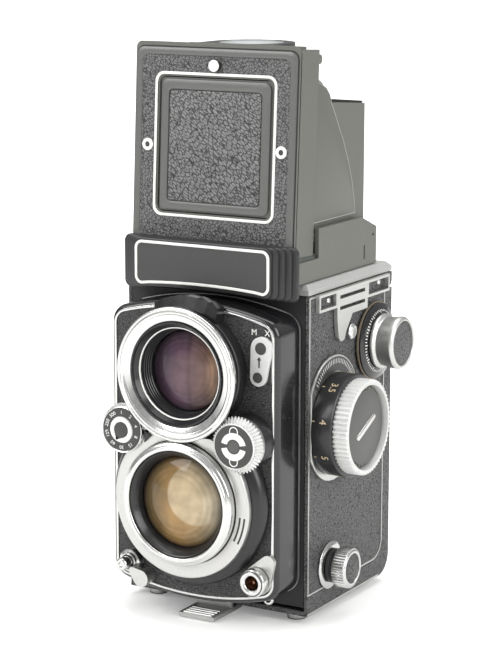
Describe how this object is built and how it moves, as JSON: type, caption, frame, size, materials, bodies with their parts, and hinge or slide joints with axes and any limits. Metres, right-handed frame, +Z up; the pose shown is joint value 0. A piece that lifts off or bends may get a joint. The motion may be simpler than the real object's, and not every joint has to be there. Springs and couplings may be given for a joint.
{
  "type": "twin lens reflex camera",
  "caption": "Roll film camera with paired viewing and taking lenses on a sliding board, a folding viewing hood, a hinged back and a winding crank.",
  "frame": {"origin": "on the tripod seat's face at the base plane, under the middle of the body's width", "axes": "+Z up, -Y the way the lenses look, +X towards the focusing knob"},
  "size_m": [0.108, 0.0955, 0.2097],
  "materials": {
    "black_paint": "gloss black",
    "hood_grey": "satin grey",
    "leatherette": "pebbled black covering on thin metal",
    "casting": "matt black casting",
    "chrome": "satin chrome",
    "chromed_alloy": "bright chrome on alloy",
    "barrel_black": "gloss black",
    "steel": "plain",
    "coated_glass": "coated",
    "clear_glass": "clear",
    "mirror": "silvered",
    "spool_black": "matt"
  },
  "bodies": {
    "camera_body": {"body_shell": "casting", "side_cover_right": "leatherette", "side_cover_left": "leatherette", "top_plate": "chromed_alloy", "focusing_screen": "clear_glass", "mirror": "mirror", "film_gate": "casting", "hinge_pin": "steel", "hood_base": "hood_grey", "name_housing": "hood_grey", "hood_lid": "hood_grey", "focus_scale_plate": "chrome", "upper_knob_dial": "black_paint", "lower_knob_ring": "chrome", "crank_plate": "chrome", "strap_lug_right": "chrome", "strap_lug_left": "chrome"},
    "lens_standard": {"lens_board": "casting", "lens_housing": "barrel_black", "scale_window": "barrel_black", "viewing_ring": "chrome", "viewing_cone": "barrel_black", "viewing_lens": "coated_glass", "taking_ring": "chrome", "shutter_ring": "chrome", "taking_cone": "barrel_black", "taking_lens": "coated_glass", "iris": "steel", "rear_lens": "clear_glass", "wheel_seat_left": "chrome", "wheel_seat_right": "chrome", "release_collar": "chrome", "flash_socket": "chrome"},
    "upper_roller": {"film_roller_upper": "steel"},
    "lower_roller": {"film_roller_lower": "steel"},
    "speed_wheel": {"speed_wheel": "chrome"},
    "aperture_wheel": {"aperture_wheel": "chrome"},
    "release_button": {"release_button": "chrome"},
    "release_lock": {"release_lock": "chrome"},
    "socket_lock": {"socket_lock": "chrome"},
    "sync_lever": {"sync_lever": "chrome"},
    "focus_knob": {"focus_knob": "barrel_black", "focus_rim": "chromed_alloy"},
    "focus_dial": {"focus_dial": "black_paint"},
    "upper_spool_knob": {"upper_spool_knob": "chromed_alloy"},
    "lower_spool_knob": {"lower_spool_knob": "chromed_alloy"},
    "winding_crank": {"winding_crank": "chrome", "take_up_spool": "spool_black"},
    "crank_grip": {"crank_grip": "chrome"},
    "back_door": {"back_door": "leatherette", "tripod_socket": "steel", "pressure_plate": "steel"},
    "back_latch": {"back_latch": "chrome"},
    "lid_button": {"lid_button": "chrome"},
    "sports_flap": {"sports_flap": "hood_grey"},
    "magnifier": {"magnifier_frame": "chromed_alloy", "magnifier_lens": "clear_glass"},
    "hood_side_left": {"hood_side_left": "hood_grey"},
    "hood_side_right": {"hood_side_right": "hood_grey"},
    "hood_rear": {"hood_rear": "hood_grey"}
  },
  "joints": [
    {"name": "focus_slide", "type": "slide", "parent": "camera_body", "child": "lens_standard", "axis": [0, -1, 0], "range_m": [0, 0.007]},
    {"name": "focus_turn", "type": "hinge", "parent": "camera_body", "child": "focus_knob", "pos_m": [0.038, -0.0175, 0.0724], "axis": [1, 0, 0], "range_deg": [0, 230]},
    {"name": "focus_dial_turn", "type": "hinge", "parent": "focus_knob", "child": "focus_dial", "pos_m": [0.0522, -0.0175, 0.0724], "axis": [1, 0, 0], "range_deg": [-60, 60]},
    {"name": "speed_turn", "type": "hinge", "parent": "lens_standard", "child": "speed_wheel", "pos_m": [-0.0239, -0.0605, 0.0714], "axis": [0, -1, 0], "range_deg": [0, 250]},
    {"name": "aperture_turn", "type": "hinge", "parent": "lens_standard", "child": "aperture_wheel", "pos_m": [0.0239, -0.0605, 0.0714], "axis": [0, -1, 0], "range_deg": [0, 160]},
    {"name": "release_press", "type": "slide", "parent": "lens_standard", "child": "release_button", "axis": [0, 1, 0], "range_m": [0, 0.003], "stiffness_N_per_m": 250, "springref_m": -0.001},
    {"name": "release_lock_turn", "type": "hinge", "parent": "lens_standard", "child": "release_lock", "pos_m": [-0.019, -0.0515, 0.015], "axis": [0, -1, 0], "range_deg": [0, 30]},
    {"name": "socket_lock_turn", "type": "hinge", "parent": "lens_standard", "child": "socket_lock", "pos_m": [0.0276, -0.0515, 0.0204], "axis": [0, -1, 0], "range_deg": [0, 14]},
    {"name": "sync_turn", "type": "hinge", "parent": "lens_standard", "child": "sync_lever", "pos_m": [0.0278, -0.0515, 0.0947], "axis": [0, -1, 0], "range_deg": [0, 20]},
    {"name": "upper_knob_pull", "type": "slide", "parent": "camera_body", "child": "upper_spool_knob", "axis": [1, 0, 0], "range_m": [0, 0.008]},
    {"name": "lower_knob_pull", "type": "slide", "parent": "camera_body", "child": "lower_spool_knob", "axis": [1, 0, 0], "range_m": [0, 0.008]},
    {"name": "crank_turn", "type": "hinge", "parent": "camera_body", "child": "winding_crank", "pos_m": [-0.038, 0.0153, 0.0975], "axis": [1, 0, 0], "range_deg": [0, 230]},
    {"name": "grip_turn", "type": "hinge", "parent": "winding_crank", "child": "crank_grip", "pos_m": [-0.045, 0.0153, 0.0635], "axis": [1, 0, 0], "continuous": true},
    {"name": "upper_roller_turn", "type": "hinge", "parent": "camera_body", "child": "upper_roller", "pos_m": [0, 0.021, 0.0814], "axis": [1, 0, 0], "continuous": true},
    {"name": "lower_roller_turn", "type": "hinge", "parent": "camera_body", "child": "lower_roller", "pos_m": [0, 0.021, 0.0128], "axis": [1, 0, 0], "continuous": true},
    {"name": "back_swing", "type": "hinge", "parent": "camera_body", "child": "back_door", "pos_m": [0, 0.029, 0.118], "axis": [1, 0, 0], "range_deg": [0, 100]},
    {"name": "latch_swing", "type": "hinge", "parent": "back_door", "child": "back_latch", "pos_m": [0, -0.03, 0.0016], "axis": [1, 0, 0], "range_deg": [0, 65]},
    {"name": "lid_button_press", "type": "slide", "parent": "camera_body", "child": "lid_button", "axis": [0, 0.9985, -0.0549], "range_m": [0, 0.0015], "stiffness_N_per_m": 250, "springref_m": -0.001},
    {"name": "sports_flap_swing", "type": "hinge", "parent": "camera_body", "child": "sports_flap", "pos_m": [0, -0.03411, 0.19626], "axis": [1, 0, 0], "range_deg": [0, 45]},
    {"name": "magnifier_swing", "type": "hinge", "parent": "camera_body", "child": "magnifier", "pos_m": [0, -0.02706, 0.20778], "axis": [1, 0, 0], "range_deg": [-90, 0]},
    {"name": "hood_left_fold", "type": "hinge", "parent": "camera_body", "child": "hood_side_left", "pos_m": [-0.032, 0, 0.1428], "axis": [0, -1, 0], "range_deg": [-90, 0], "stiffness_Nm_per_rad": 0.01, "springref_deg": 22.92},
    {"name": "hood_right_fold", "type": "hinge", "parent": "camera_body", "child": "hood_side_right", "pos_m": [0.032, 0, 0.1404], "axis": [0, 1, 0], "range_deg": [-90, 0], "stiffness_Nm_per_rad": 0.01, "springref_deg": 22.92},
    {"name": "hood_rear_fold", "type": "hinge", "parent": "camera_body", "child": "hood_rear", "pos_m": [0, 0.0198, 0.138], "axis": [-1, 0, 0], "range_deg": [-90, 0], "stiffness_Nm_per_rad": 0.01, "springref_deg": 22.92}
  ],
  "couplings": [
    {"joint": "focus_turn", "follows": "focus_slide", "rad_per_m": 573.4}
  ]
}
